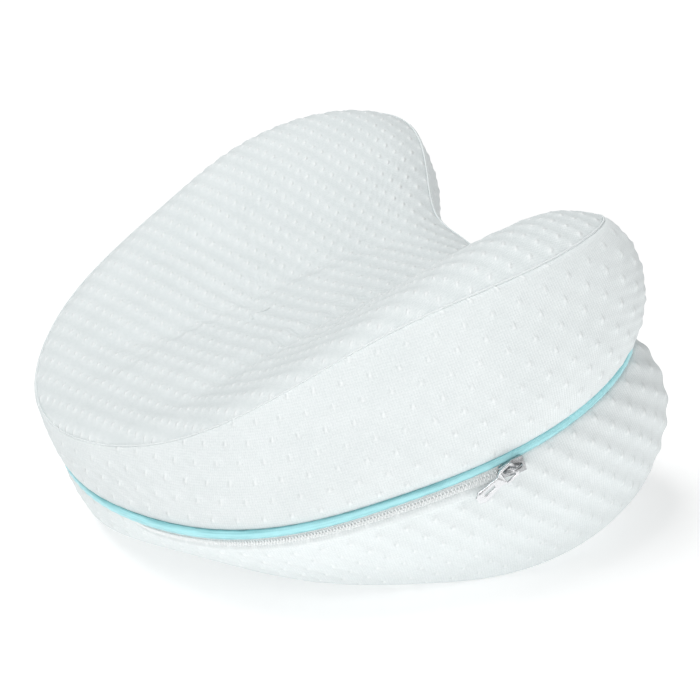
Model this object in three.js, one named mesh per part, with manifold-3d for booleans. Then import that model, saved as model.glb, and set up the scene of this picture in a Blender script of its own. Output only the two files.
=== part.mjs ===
// Knee pillow: a firm heart-shaped pillow with a leg saddle above and its twin below.
// Millimetres, +Z up. X runs across the saddle, +X on the zip side. Y runs along it, +Y at the notch.
// The pillow is drawn about its waist plane, then tilted on to its lower ridges, which lie flat on Z = 0.
import * as THREE from "three";
import { mergeVertices } from "three/addons/utils/BufferGeometryUtils.js";
import Module from "manifold-3d";

// Waist outline in plan: a soft rectangle with a deep notch at +Y
const WAIST_HALF_ACROSS = 124.3;
const WAIST_HALF_ALONG = 110.7;
const OUTLINE_SQUARENESS = 2.34;
// Shares of the radius gained, by waves per turn: fuller at +Y, longer than wide, then small unevenness
const SWELL = [
  { waves: 1, sine: 0.246, cosine: -0.01 },
  { waves: 2, sine: 0.02, cosine: -0.088 },
  { waves: 3, sine: 0.009, cosine: 0.0165 },
  { waves: 4, sine: 0, cosine: -0.009 },
  { waves: 5, sine: -0.01, cosine: 0 },
];
const NOTCH_DEPTH = 0.357; // share of the radius
const NOTCH_HALF_ANGLE = 0.545;
const NOTCH_SQUARENESS = 4.6;

// Half heights above the waist plane, along the saddle floor and along the two ridges
const FLOOR = { middle: 28.3, slope: -4.3, bend: 1 };
const RIDGE = { middle: 62.7, slope: 16.5, bend: -3.1, droop: -15.3 };
const FAR_RIDGE_DROP = { middle: 1.7, slope: 1 }; // the -X ridge is a little lower
const RIDGE_PLACE = 0.894; // share of WAIST_HALF_ACROSS
const RIDGE_SPLAY = 0.117; // the ridges close in towards the notch
const SADDLE_CENTRE = { middle: 6.8, slope: -4.7 };
const SADDLE_SHARPNESS = 1.3;
const SADDLE_REACH = 1.25; // shares of the half width past which the section stays level
const LENGTH_UNIT = 110.7; // the slopes above are per this length of Y

// Crest edge, where the saddle panel meets the side band
const CREST_DROP = 7.8;
const CREST_DROP_NOTCH = 2;
const CREST_START = 0.8; // share of the radius where the panel begins to turn down

// Side bands between the waist and the crest
const CREST_OUT = { all: -3.6, notchEnd: 12.2, sides: 8.7, zipSide: -0.8, notch: -8, thinEnd: 7.9 };
const THIN_END = { angle: -104.3, halfAngle: 33.6 }; // degrees round the outline from +X
const BULGE = { middle: 5.6, notchEnd: 3.9, notch: -5 };
const BULGE_HEIGHT = 0.696;

// Waist piping and its groove
const PIPING_RADIUS = 2.1;
const PIPING_OUT = 1.1;
const GAP = 0.35;
const LIP_HEIGHT = 3.4;
const ZIP_ROW_HEIGHT = 11;
const ZIP_ROW_LIMIT = 0.62; // share of the way to the crest, where the band is low

// Saddle panels
const PANEL_THICK = 3;
const PANEL_EDGE = 0.98; // share of the radius
const RIM_LIMIT = 0.994; // the body's rim never starts further out than this share
const RIM_GAP = 1.6 * GAP; // a little over the gap, because the crest slopes there
const BED_GAP = 1.4 * GAP;
const PANEL_RINGS = [0.14, 0.3, 0.46, 0.61, 0.75, 0.87, 0.95];
const BAND_ROWS = 5;

// Zip below the piping on the +X band
const ZIP_FROM = -69; // degrees round the outline from +X
const ZIP_TO = 26;
const CHAIN_TOP = 0.02; // place between the lip row and the row below it
const CHAIN_FOOT = 0.52;
const CHAIN_THICK = 1.4;
const TAPE_THICK = 0.77;
const ROOTED = 0.2; // the bridge's legs start this deep in the slider
const SLIDER = { long: 9.5, wide: 5.8, nose: 3.8, thick: 2.2, bar: 1.3, bridge: 3.2, post: 1.2 };
// turn is in degrees, from straight up the band
const PULL = { long: 18, head: 6.2, neck: 3.6, tip: 4.8, thick: 1, eyeLong: 4.6, eyeWide: 4.2, turn: 108 };

// Resting place
const REST_TILT = 12;
const SINK = 3; // the foam gives by this much under the pillow's own weight

const STATIONS = 76;
const NOTCH_CROWDING = 0.4;

const PLAIN_WHITE = "#e9efef";
const PIPING_TURQUOISE = "#8fdae0";
const COIL_WHITE = "#d9dede";
const SILVER = "#c3c7ca";

const wasm = await Module();
wasm.setup();

const { sin, cos, abs, PI, exp, min, max } = Math;
const radians = THREE.MathUtils.degToRad;
const fromNotch = (t) => {
  const a = t - PI / 2;
  return Math.atan2(sin(a), cos(a));
};
const notchShare = (t) => exp(-(abs(fromNotch(t) / NOTCH_HALF_ANGLE) ** NOTCH_SQUARENESS));
const thinEndShare = (t) => {
  const a = t - radians(THIN_END.angle);
  return exp(-((Math.atan2(sin(a), cos(a)) / radians(THIN_END.halfAngle)) ** 2));
};

// Stations round the outline, closer together near the notch
const stationAngles = Array.from({ length: STATIONS }, (_, i) => {
  const u = -1 + (2 * i) / STATIONS;
  return PI / 2 + PI * (u - (NOTCH_CROWDING * sin(PI * u)) / PI);
});

function waist(t) {
  const squareness = OUTLINE_SQUARENESS;
  const across = abs(cos(t) / WAIST_HALF_ACROSS) ** squareness;
  const along = abs(sin(t) / WAIST_HALF_ALONG) ** squareness;
  const swell = SWELL.reduce((sum, { waves, sine, cosine }) =>
    sum + sine * sin(waves * t) + cosine * cos(waves * t), 1);
  const radius = (across + along) ** (-1 / squareness) * swell * (1 - NOTCH_DEPTH * notchShare(t));
  return new THREE.Vector2(radius * cos(t), radius * sin(t));
}

// Outward direction of the outline, taken over a short arc so that it turns softly
function outward(t) {
  const arc = 0.09;
  const run = waist(t + arc).sub(waist(t - arc)).normalize();
  return new THREE.Vector2(run.y, -run.x);
}

const polynomial = ({ middle, slope = 0, bend = 0, droop = 0 }, y) =>
  middle + slope * y + bend * y * y + droop * y ** 3;

// Half height of the saddle surface over a plan point, before the crest turns down
function halfHeight(x, y) {
  const along = y / LENGTH_UNIT;
  const floor = polynomial(FLOOR, along);
  const ridge = polynomial(RIDGE, along) - (x < 0 ? polynomial(FAR_RIDGE_DROP, along) : 0);
  const reach = WAIST_HALF_ACROSS * RIDGE_PLACE * (1 - RIDGE_SPLAY * along);
  const share = min(abs(x - polynomial(SADDLE_CENTRE, along)) / reach, SADDLE_REACH);
  return floor + (ridge - floor) * (sin((PI / 2) * share) ** 2) ** SADDLE_SHARPNESS;
}

const crestOut = (t) =>
  CREST_OUT.all + CREST_OUT.notchEnd * sin(t) - CREST_OUT.sides * cos(2 * t)
  + CREST_OUT.zipSide * cos(t) + CREST_OUT.notch * notchShare(t) + CREST_OUT.thinEnd * thinEndShare(t);

const crestPlan = (t) => waist(t).addScaledVector(outward(t), crestOut(t));

// Point of a saddle surface at a share of the radius, `under` millimetres below its face
function saddlePoint(t, share, under = 0) {
  const plan = crestPlan(t).multiplyScalar(share);
  const turn = max(0, (share - CREST_START) / (1 - CREST_START)) ** 2;
  const drop = (CREST_DROP + CREST_DROP_NOTCH * notchShare(t)) * turn;
  return new THREE.Vector3(plan.x, plan.y, halfHeight(plan.x, plan.y) - drop - under);
}

// Point of the upper side band at a share of the way from waist to crest
function bandPoint(t, share) {
  const base = waist(t);
  const depth = BULGE.middle + BULGE.notchEnd * sin(t) + BULGE.notch * notchShare(t);
  base.addScaledVector(outward(t), crestOut(t) * share + depth * sin(PI * share ** BULGE_HEIGHT));
  return new THREE.Vector3(base.x, base.y, saddlePoint(t, 1).z * share);
}

// Point at an angle round the piping's centre, 0 outward and 90 degrees up
function pipingPoint(t, angle, radius) {
  const plan = waist(t).addScaledVector(outward(t), PIPING_OUT + radius * cos(angle));
  return new THREE.Vector3(plan.x, plan.y, radius * sin(angle));
}

// Turned about X on to the lower ridges
const turned = ([x, y, z]) => {
  const tilt = radians(REST_TILT);
  return [x, y * cos(tilt) - z * sin(tilt), y * sin(tilt) + z * cos(tilt)];
};

// The two halves are twins about the waist plane: side is 1 above it and -1 below
const placed = (point, side = 1) => turned([point.x, point.y, point.z * side]);

// Height of the lowest skin point, which settles where the floor lies
function lowestSkin() {
  const shares = [...PANEL_RINGS, PANEL_EDGE, 1];
  const heights = stationAngles.flatMap((t) => shares.map((s) => placed(saddlePoint(t, s), -1)[2]));
  return min(...heights);
}
const floorHeight = lowestSkin() + SINK;

// A ring of points round all stations, kept at or above a height over the floor
function ring(pointAt, side = 1, lowest = 0) {
  return stationAngles.map((t) => {
    const [x, y, z] = placed(pointAt(t), side);
    return [x, y, max(z - floorHeight, lowest)];
  });
}

const distance = (p, q) => Math.hypot(p[0] - q[0], p[1] - q[1], p[2] - q[2]);

// Two triangles for a four-sided patch, split along its shorter diagonal so that twin skins match
function patch(points, a, b, c, d) {
  const straight = distance(points[a], points[c]) <= distance(points[b], points[d]);
  return straight ? [[a, b, c], [a, c, d]] : [[a, b, d], [b, c, d]];
}

function geometryOf(points, faces) {
  const geometry = new THREE.BufferGeometry();
  geometry.setAttribute("position", new THREE.Float32BufferAttribute(points.flat(), 3));
  geometry.setIndex(faces.flat());
  geometry.computeVertexNormals();
  return geometry;
}

const middleOf = (points) => [0, 1, 2].map((axis) => points.reduce((a, p) => a + p[axis], 0) / points.length);

// Closed skin over a stack of rings, from a first pole out and round to a last pole
function ringSkin(rings) {
  const count = rings[0].length;
  const points = [...rings.flat(), middleOf(rings[0]), middleOf(rings[rings.length - 1])];
  const first = points.length - 2;
  const last = points.length - 1;
  const faces = [];
  for (let i = 0; i < count; i++) {
    const j = (i + 1) % count;
    faces.push([first, i, j]);
    for (let r = 0; r < rings.length - 1; r++) {
      const a = r * count;
      const b = a + count;
      faces.push(...patch(points, a + i, b + i, b + j, a + j));
    }
    const end = (rings.length - 1) * count;
    faces.push([end + j, end + i, last]);
  }
  return geometryOf(points, faces);
}

// Swept bar through a list of sections, each a loop of points; closed or with flat ends
function sweep(sections, closed) {
  const sides = sections[0].length;
  const points = sections.flat();
  const faces = [];
  const spans = closed ? sections.length : sections.length - 1;
  for (let s = 0; s < spans; s++) {
    const a = s * sides;
    const b = ((s + 1) % sections.length) * sides;
    for (let k = 0; k < sides; k++) {
      const n = (k + 1) % sides;
      faces.push(...patch(points, a + k, b + k, b + n, a + n));
    }
  }
  const end = (sections.length - 1) * sides;
  for (let k = 1; !closed && k < sides - 1; k++) {
    faces.push([0, k, k + 1], [end, end + k + 1, end + k]);
  }
  return geometryOf(points, faces);
}

function named(name, geometry, color, roughness, metalness = 0) {
  const mesh = new THREE.Mesh(geometry, new THREE.MeshStandardMaterial({ color, roughness, metalness }));
  mesh.name = name;
  return mesh;
}

// Share of the radius just outside the panel's edge, which leaves the gap to the body's rim
const rimShare = (t) => min(PANEL_EDGE + RIM_GAP / max(crestPlan(t).dot(outward(t)), 1), RIM_LIMIT);
const lipShare = (t) => LIP_HEIGHT / saddlePoint(t, 1).z;
const zipRowShare = (t) => min(ZIP_ROW_HEIGHT / saddlePoint(t, 1).z, ZIP_ROW_LIMIT);

// The filled form: a bed for each panel, a rim, the side bands and the piping's groove
function pillowBody() {
  const bed = PANEL_THICK + BED_GAP;
  const half = (side) => {
    const low = side < 0 ? bed : 0;
    const rings = PANEL_RINGS.map((s) => ring((t) => saddlePoint(t, s, bed), side, low));
    rings.push(ring((t) => saddlePoint(t, rimShare(t), bed), side, low));
    rings.push(ring((t) => saddlePoint(t, rimShare(t)), side));
    rings.push(ring((t) => saddlePoint(t, 1), side));
    for (let row = BAND_ROWS - 1; row >= 0; row--) {
      const share = (t) => zipRowShare(t) + ((1 - zipRowShare(t)) * row) / BAND_ROWS;
      rings.push(ring((t) => bandPoint(t, share(t)), side));
    }
    rings.push(ring((t) => bandPoint(t, lipShare(t)), side));
    return rings;
  };
  const groove = [80, 115, 150, 180, 210, 245, 280].map((angle) =>
    ring((t) => pipingPoint(t, radians(angle), PIPING_RADIUS + GAP)));
  const rings = [...half(1), ...groove, ...half(-1).reverse()];
  return named("pillow_body", ringSkin(rings), PLAIN_WHITE, 0.9);
}

// A quilted panel: a thin shell whose face follows the saddle; the lower one lies flat on the floor
function saddlePanel(name, side) {
  const low = side < 0 ? PANEL_THICK : 0;
  const shares = [...PANEL_RINGS, PANEL_EDGE];
  const face = shares.map((s) => ring((t) => saddlePoint(t, s), side));
  const back = shares.map((s) => ring((t) => saddlePoint(t, s, PANEL_THICK), side, low));
  const rings = side > 0 ? [...face, ...back.reverse()] : [...back, ...face.reverse()];
  return named(name, ringSkin(rings), PLAIN_WHITE, 0.92);
}

function waistPiping() {
  const sides = 8;
  const rings = Array.from({ length: sides }, (_, k) =>
    ring((t) => pipingPoint(t, (2 * PI * k) / sides, PIPING_RADIUS)));
  const sections = stationAngles.map((_, i) => rings.map((r) => r[i]));
  return named("waist_piping", sweep(sections, true), PIPING_TURQUOISE, 0.45);
}

// Rows of the lower band that the zip lies on, station by station
const upperZipRow = ring((t) => bandPoint(t, lipShare(t)), -1);
const lowerZipRow = ring((t) => bandPoint(t, zipRowShare(t)), -1);
const vector = (p) => new THREE.Vector3(...p);

// Place on the zip's strip of band: across runs down the band, off stands out from it
function bandFrame(index) {
  const top = vector(upperZipRow[index]);
  const foot = vector(lowerZipRow[index]);
  const next = vector(upperZipRow[(index + 1) % STATIONS]);
  const before = vector(upperZipRow[(index + STATIONS - 1) % STATIONS]);
  const down = foot.clone().sub(top);
  const run = next.sub(before).normalize();
  const out = down.clone().cross(run).normalize();
  const at = (across, off) => top.clone().addScaledVector(down, across).addScaledVector(out, off);
  return { at, run, out };
}

function zipChain() {
  const from = radians(ZIP_FROM);
  const to = radians(ZIP_TO);
  const wrapped = (t) => Math.atan2(sin(t), cos(t));
  const held = stationAngles.map((t, i) => ({ t: wrapped(t), i })).filter(({ t }) => t > from && t < to);
  held.sort((a, b) => a.t - b.t);
  const crown = (CHAIN_TOP + CHAIN_FOOT) / 2;
  const sections = held.map(({ i }) => {
    const { at } = bandFrame(i);
    const face = GAP + CHAIN_THICK;
    const edge = GAP + TAPE_THICK;
    return [at(CHAIN_TOP, GAP), at(CHAIN_FOOT, GAP), at(CHAIN_FOOT, edge), at(crown, face), at(CHAIN_TOP, edge)]
      .map((p) => p.toArray());
  });
  return { mesh: named("zip_chain", sweep(sections, false), COIL_WHITE, 0.6), last: held[held.length - 2].i };
}

function solidOf(geometry) {
  geometry.deleteAttribute("normal");
  geometry.deleteAttribute("uv");
  const merged = mergeVertices(geometry, 1e-4);
  return new wasm.Manifold(new wasm.Mesh({
    numProp: 3,
    vertProperties: merged.attributes.position.array,
    triVerts: new Uint32Array(merged.index.array),
  }));
}

function fromSolid(solid) {
  const { vertProperties, triVerts } = solid.getMesh();
  const geometry = new THREE.BufferGeometry();
  geometry.setAttribute("position", new THREE.Float32BufferAttribute(vertProperties, 3));
  geometry.setIndex(new THREE.BufferAttribute(triVerts, 1));
  geometry.computeVertexNormals();
  return geometry;
}

// A plate from an outline, lying on z = 0 and up
function plate(points, thick, hole) {
  const flat = (list) => list.map(([x, y]) => new THREE.Vector2(x, y));
  const outline = new THREE.Shape(flat(points));
  if (hole) outline.holes.push(new THREE.Path(flat(hole)));
  return new THREE.ExtrudeGeometry(outline, { depth: thick, bevelEnabled: false });
}

function block(wide, deep, high, x, y, z) {
  return new THREE.BoxGeometry(wide, deep, high).translate(x, y, z + high / 2);
}

// Slider in its own frame: x along the chain, y up the band, z out of it
function sliderGeometry() {
  const { long, wide, nose, thick, bar, bridge, post } = SLIDER;
  const body = plate([[-long / 2, -nose / 2], [long * 0.1, -wide / 2], [long / 2, -wide / 2],
    [long / 2, wide / 2], [long * 0.1, wide / 2], [-long / 2, nose / 2]], thick);
  const legHigh = bridge + bar - ROOTED;
  const legs = [-1, 1].map((end) => block(post, bar, legHigh, end * bridge, 0, thick - ROOTED));
  const top = block(2 * bridge + post, bar, bar, 0, 0, thick + bridge - 2 * ROOTED);
  return fromSolid([body, ...legs, top].map(solidOf).reduce((a, b) => a.add(b)));
}

// Pull tab in the slider's frame: a flat tongue whose eye holds one leg of the bridge
function pullGeometry() {
  const { long, head, neck, tip, thick, eyeLong, eyeWide, turn } = PULL;
  const rim = (head - eyeWide) / 2;
  const outline = [[-head / 2 + 1, -rim], [head / 2 - 1, -rim], [head / 2, 1 - rim], [head / 2, eyeLong],
    [neck / 2, eyeLong + 2], [tip / 2, long - 3], [tip / 2 - 1.2, long - rim], [1.2 - tip / 2, long - rim],
    [-tip / 2, long - 3], [-neck / 2, eyeLong + 2], [-head / 2, eyeLong], [-head / 2, 1 - rim]];
  const eye = [[-eyeWide / 2, rim / 2], [eyeWide / 2, rim / 2], [eyeWide / 2, eyeLong], [-eyeWide / 2, eyeLong]];
  const tab = plate(outline, thick, eye);
  tab.rotateZ(radians(turn));
  return tab.translate(0, 0, SLIDER.thick + GAP);
}

function standOnChain(mesh, index) {
  const { at, run, out } = bandFrame(index);
  const crown = (CHAIN_TOP + CHAIN_FOOT) / 2;
  const basis = new THREE.Matrix4().makeBasis(run, out.clone().cross(run), out);
  mesh.applyMatrix4(basis.setPosition(at(crown, 2 * GAP + CHAIN_THICK)));
  return mesh;
}

const pillow = new THREE.Group();
const chain = zipChain();
pillow.add(
  pillowBody(),
  saddlePanel("top_panel", 1),
  saddlePanel("bottom_panel", -1),
  waistPiping(),
  chain.mesh,
  standOnChain(named("zip_slider", sliderGeometry(), SILVER, 0.35, 0.9), chain.last),
  standOnChain(named("zip_pull", pullGeometry(), SILVER, 0.35, 0.9), chain.last),
);

// The origin is the middle of the footprint's box, on the floor
const box = new THREE.Box3().setFromObject(pillow);
pillow.position.set(-(box.min.x + box.max.x) / 2, -(box.min.y + box.max.y) / 2, 0);

const kneePillow = new THREE.Group();
kneePillow.add(pillow);

export default kneePillow;
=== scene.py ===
import bpy
import bmesh
from math import sin, cos, pi, exp, atan2, radians, sqrt, floor
from mathutils import Vector, Matrix
from mathutils.kdtree import KDTree


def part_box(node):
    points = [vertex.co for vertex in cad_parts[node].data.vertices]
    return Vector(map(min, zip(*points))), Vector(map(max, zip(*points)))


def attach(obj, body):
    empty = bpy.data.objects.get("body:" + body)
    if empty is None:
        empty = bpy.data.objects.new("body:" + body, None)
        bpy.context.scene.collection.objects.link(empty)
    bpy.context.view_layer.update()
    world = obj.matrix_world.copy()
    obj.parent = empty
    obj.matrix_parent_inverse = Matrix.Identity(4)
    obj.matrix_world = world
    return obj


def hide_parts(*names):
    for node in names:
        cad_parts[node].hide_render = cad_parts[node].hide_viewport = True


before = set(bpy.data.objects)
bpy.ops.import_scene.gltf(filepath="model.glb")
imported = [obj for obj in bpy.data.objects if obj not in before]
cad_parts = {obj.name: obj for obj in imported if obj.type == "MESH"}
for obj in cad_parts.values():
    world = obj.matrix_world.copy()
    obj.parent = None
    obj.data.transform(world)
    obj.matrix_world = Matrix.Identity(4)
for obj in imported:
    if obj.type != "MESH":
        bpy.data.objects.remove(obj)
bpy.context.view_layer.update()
print("knee pillow: frame loaded")

mm = 0.001  # shapes are in millimetres about the waist plane, then placed in metres
steps = 720  # places round the waist where it is measured
floorGap = 0.0002  # metres between the cloth and what the pillow rests on
weldGap = 2e-6  # metres

pillow = {
    "halfAcross": 124.3,
    "halfAlong": 110.7,
    "squareness": 2.34,
    # waves that shape the waist line: how many round, strength in sine and in cosine
    "swell": [(1, 0.246, -0.01), (2, 0.02, -0.088), (3, 0.009, 0.0165), (4, 0, -0.009), (5, -0.01, 0)],
    "notchDepth": 0.357,
    "notchHalfAngle": 0.545,
    "notchSquareness": 4.6,
    "notchCrowding": 0.4,  # columns of the skin crowd towards the notch
    "floor": (28.3, -4.3, 1, 0),  # height of the saddle's floor: middle, slope, bend, droop
    "ridge": (62.7, 16.5, -3.1, -15.3),
    "farRidgeDrop": (1.7, 1, 0, 0),
    "ridgePlace": 0.894,
    "ridgeSplay": 0.117,
    "saddleCentre": (6.8, -4.7, 0, 0),
    "saddleSharpness": 1.3,
    "saddleReach": 1.25,
    "crestDrop": 7.8,
    "crestDropNotch": 2,
    "crestStart": 0.8,
    "crestOut": (-3.6, 12.2, -8.7, -0.8, -8),  # all round, notch end, sides, zip side, in the notch
    "thinEndOut": 7.9,
    "thinEnd": (-104.3, 33.6),  # its place and half width, in degrees
    "lobeEnd": (64, 20),  # the same for the end of the near lobe
    "lobeShoulder": (-5.5, 2.6),  # there the crest moves in and the band under it stands out
    "shoulderTurn": 6,  # the higher, the nearer the crest that its move stays
    "bulge": (5.6, 3.9, -5),  # all round, notch end, in the notch
    "bulgeHeight": 0.696,
    "wallRun": 0.09,  # radians to each side over which a wall's direction is taken
    "pipingOut": 1.1,
    "restTilt": 12,
}


def cubic(terms, y):
    middle, slope, bend, droop = terms
    return middle + slope * y + bend * y * y + droop * y ** 3


def notchShare(t):  # 1 in the notch, 0 away from it
    turn = atan2(sin(t - pi / 2), cos(t - pi / 2))
    return exp(-abs(turn / pillow["notchHalfAngle"]) ** pillow["notchSquareness"])


def shareNear(t, place, half):  # 1 at a place on the waist, fading out to both sides
    turn = atan2(sin(t - radians(place)), cos(t - radians(place)))
    return exp(-(turn / radians(half)) ** 2)


def thinEndShare(t):
    return shareNear(t, *pillow["thinEnd"])


def waist(t):
    n = pillow["squareness"]
    across = abs(cos(t) / pillow["halfAcross"]) ** n
    along = abs(sin(t) / pillow["halfAlong"]) ** n
    swell = 1 + sum(s * sin(w * t) + c * cos(w * t) for w, s, c in pillow["swell"])
    radius = (across + along) ** (-1 / n) * swell * (1 - pillow["notchDepth"] * notchShare(t))
    return Vector((radius * cos(t), radius * sin(t), 0))


def outward(t):
    run = waist(t + pillow["wallRun"]) - waist(t - pillow["wallRun"])
    return Vector((run.y, -run.x, 0)).normalized()


def lobeShare(t):
    return shareNear(t, *pillow["lobeEnd"])


def crestOut(t):  # from the waist, without the lobe's shoulder
    every, notchEnd, sides, zipSide, notch = pillow["crestOut"]
    out = every + notchEnd * sin(t) + sides * cos(2 * t) + zipSide * cos(t) + notch * notchShare(t)
    return out + pillow["thinEndOut"] * thinEndShare(t)


def crestPlan(t):
    return waist(t) + outward(t) * (crestOut(t) + pillow["lobeShoulder"][0] * lobeShare(t))


def saddleHeight(x, y):
    along = y / pillow["halfAlong"]
    low = cubic(pillow["floor"], along)
    ridge = cubic(pillow["ridge"], along) - (cubic(pillow["farRidgeDrop"], along) if x < 0 else 0)
    reach = pillow["halfAcross"] * pillow["ridgePlace"] * (1 - pillow["ridgeSplay"] * along)
    share = min(abs(x - cubic(pillow["saddleCentre"], along)) / reach, pillow["saddleReach"])
    return low + (ridge - low) * (sin(pi / 2 * share) ** 2) ** pillow["saddleSharpness"]


def crestDrop(t):
    return pillow["crestDrop"] + pillow["crestDropNotch"] * notchShare(t)


def crestHeight(t):
    plan = crestPlan(t)
    return saddleHeight(plan.x, plan.y) - crestDrop(t)


def panelPoint(t, share, sink=0):  # share of the way from the saddle's middle to the crest
    plan = crestPlan(t) * share
    turn = max(0, (share - pillow["crestStart"]) / (1 - pillow["crestStart"])) ** 2
    return Vector((plan.x, plan.y, saddleHeight(plan.x, plan.y) - crestDrop(t) * turn - sink))


def bandPoint(t, share):  # share of the way up from the waist to the crest
    middle, notchEnd, notch = pillow["bulge"]
    depth = middle + notchEnd * sin(t) + notch * notchShare(t)
    move, stand = pillow["lobeShoulder"]
    out = crestOut(t) * share + depth * sin(pi * share ** pillow["bulgeHeight"])
    out += lobeShare(t) * (move * share ** pillow["shoulderTurn"] + stand * sin(pi * share ** 2))
    plan = waist(t) + outward(t) * out
    return Vector((plan.x, plan.y, crestHeight(t) * share))


# The box of the waist piping's node tells where the waist plane lies in the frame
tilt = Matrix.Rotation(radians(pillow["restTilt"]), 4, "X")
turns = [2 * pi * i / steps for i in range(steps)]
waistLine = [tilt @ (waist(t) + outward(t) * pillow["pipingOut"]) * mm for t in turns]
cordLow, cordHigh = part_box("waist_piping")


def waistShift(k):  # from the middle of the waist line to the node's, along one axis
    places = [p[k] for p in waistLine]
    return (cordLow[k] + cordHigh[k]) / 2 - (min(places) + max(places)) / 2


rest = Vector([waistShift(k) for k in range(3)])


def placed(p, side=1):  # side is 1 for the upper half and -1 for its twin below
    q = tilt @ (Vector((p.x, p.y, p.z * side)) * mm) + rest
    return Vector((q.x, q.y, max(q.z, floorGap)))


def columnAngle(share):  # share of the way round, 0 to 1
    u = 2 * share - 1
    return pi / 2 + pi * u - pillow["notchCrowding"] * sin(pi * u)


def newMesh(name, bm, smooth=True):
    mesh = bpy.data.meshes.new(name)
    bm.to_mesh(mesh)
    bm.free()
    for face in mesh.polygons:
        face.use_smooth = smooth
    piece = bpy.data.objects.new(name, mesh)
    bpy.context.collection.objects.link(piece)
    return piece


def gridSkin(columns, rows, pointAt, uvAt, partAt=None):  # the callers get the share round and the row
    bm = bmesh.new()
    uv = bm.loops.layers.uv.new("weave")
    part = bm.faces.layers.int.new("part")
    bmesh.ops.create_grid(bm, x_segments=columns, y_segments=rows, size=1)
    spot = {v: ((v.co.x + 1) / 2, round((v.co.y + 1) / 2 * rows)) for v in bm.verts}
    for face in bm.faces:
        if partAt:
            face[part] = partAt(min(spot[v][1] for v in face.verts))
        for loop in face.loops:
            loop[uv].uv = uvAt(*spot[loop.vert])
    points = {v: pointAt(*spot[v]) for v in bm.verts}
    for v, p in points.items():
        v.co = p
    bmesh.ops.remove_doubles(bm, verts=bm.verts, dist=weldGap)
    bmesh.ops.recalc_face_normals(bm, faces=bm.faces)
    return bm


# Cover: two side bands and two saddle panels, cut from one skin

cover = {
    "columns": 400,
    "bandRows": 54,
    "panelRows": 46,
    "panelPlain": 0.938,  # evenly spaced rows of a panel end here
    "rimShares": [0.955, 0.968, 0.978, 0.9835, 0.9862],  # last rows of a panel, out to its seam
    "rimSinks": [0, 0, 0.01, 0.04, 0.12],  # how far each is drawn down into the seam
    "bandRim": 0.9885,  # first row of the band past the seam
    "bandRimSink": 0.03,
    "tuckIn": (1.3, 1.1),  # last row of a band, behind the piping: how far in and how high
    "lipHeight": 1.75,  # row before it
    "panelThick": 2.6,
    "bedGap": 0.5,  # between a panel and the body under it
    "edgeSink": 0.0001,  # in metres, where a panel meets a band
    "edgeFloor": 0.0006,
    "panelReach": 150,  # the saddle's sections are measured this far out
    "sectionStep": 2,  # and this far apart
    "bandPieces": 24,
    "weaveStart": 1.2,  # the band's weave starts this far behind the piping
    "tuckAcross": 10.4,  # on the bands, between tucks in a row
    "tuckRows": 7.1,
    "panelTucks": ((4.9, 1.9), (5.1, -6.4)),  # on the panels, from a tuck to its two neighbours
    "stitchHigh": 0.45,  # the cloth stands up round each stitch
    "stitchMean": 0.3,
    "ribHigh": (0.5, 0.7, 0.4),  # slanted ribs of the panels, the lower band and the upper band
    "calmSeam": 0.009,  # metres from a seam over which the quilting grows
    "calmFoot": (0.0004, 0.002),  # the same over the surface below: from, and over how far
    "ends": (0.05, 0.04),  # metres along Y where the upper band's ribs begin, and over how far
}

walk = [0.0]  # lengths round the waist, for the cloth's own coordinates
for i in range(steps):
    walk.append(walk[-1] + (waist(columnAngle((i + 1) / steps)) - waist(columnAngle(i / steps))).length)
tucksRound = round(walk[-1] / cover["tuckAcross"])


def lengthRound(share):
    low = min(int(share * steps), steps - 1)
    return walk[low] + (walk[low + 1] - walk[low]) * (share * steps - low)


panelArc = {}  # lengths along the saddle's sections


def sectionLength(x, key):
    if key not in panelArc:
        line = [0.0]
        y = key * cover["sectionStep"]
        for k in range(cover["panelReach"]):
            rise = saddleHeight(k + 1, y) - saddleHeight(k, y)
            line.append(line[-1] + sqrt(1 + rise * rise))
        panelArc[key] = line
    line = panelArc[key]
    low = min(int(abs(x)), cover["panelReach"] - 2)
    return line[low] + (line[low + 1] - line[low]) * (abs(x) - low)


def arcAcross(x, y):  # length of the saddle's section from its middle
    place = y / cover["sectionStep"]
    key = floor(place)
    past = place - key
    length = sectionLength(x, key) * (1 - past) + sectionLength(x, key + 1) * past
    return length if x > 0 else -length


bandArc = {}  # lengths up the band's sections


def lengthUp(t, share):  # length of the band's section from the waist
    key = round(t, 5)
    pieces = cover["bandPieces"]
    if key not in bandArc:
        points = [bandPoint(t, k / pieces) for k in range(pieces + 1)]
        line = [0.0]
        for k in range(pieces):
            line.append(line[-1] + (points[k + 1] - points[k]).length)
        bandArc[key] = line
    line = bandArc[key]
    low = min(int(share * pieces), pieces - 1)
    return line[low] + (line[low + 1] - line[low]) * (share * pieces - low)


def panelWeave(x, y):  # whole numbers of a + b/2 and a - b/2 meet at the tucks
    (x1, y1), (x2, y2) = cover["panelTucks"]
    across = arcAcross(x, y)
    area = x1 * y2 - y1 * x2
    m = (across * y2 - y * x2) / area
    n = (x1 * y - y1 * across) / area
    return (m + n) / 2, m - n


seamRow = cover["panelRows"]
crestRow = seamRow + 2
waistRow = crestRow + cover["bandRows"]
lastRow = 2 * waistRow + 3  # rows r and lastRow - r are twins


def rowTwin(row):
    return (row, 1) if 2 * row <= lastRow else (lastRow - row, -1)


def panelRow(twin):  # share of the radius and sink of a panel's row
    plain = seamRow - len(cover["rimShares"])
    if twin <= plain:
        return twin / plain * cover["panelPlain"], 0
    if twin <= seamRow:
        return cover["rimShares"][twin - plain - 1], cover["rimSinks"][twin - plain - 1]
    return cover["bandRim"], cover["bandRimSink"]


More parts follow.
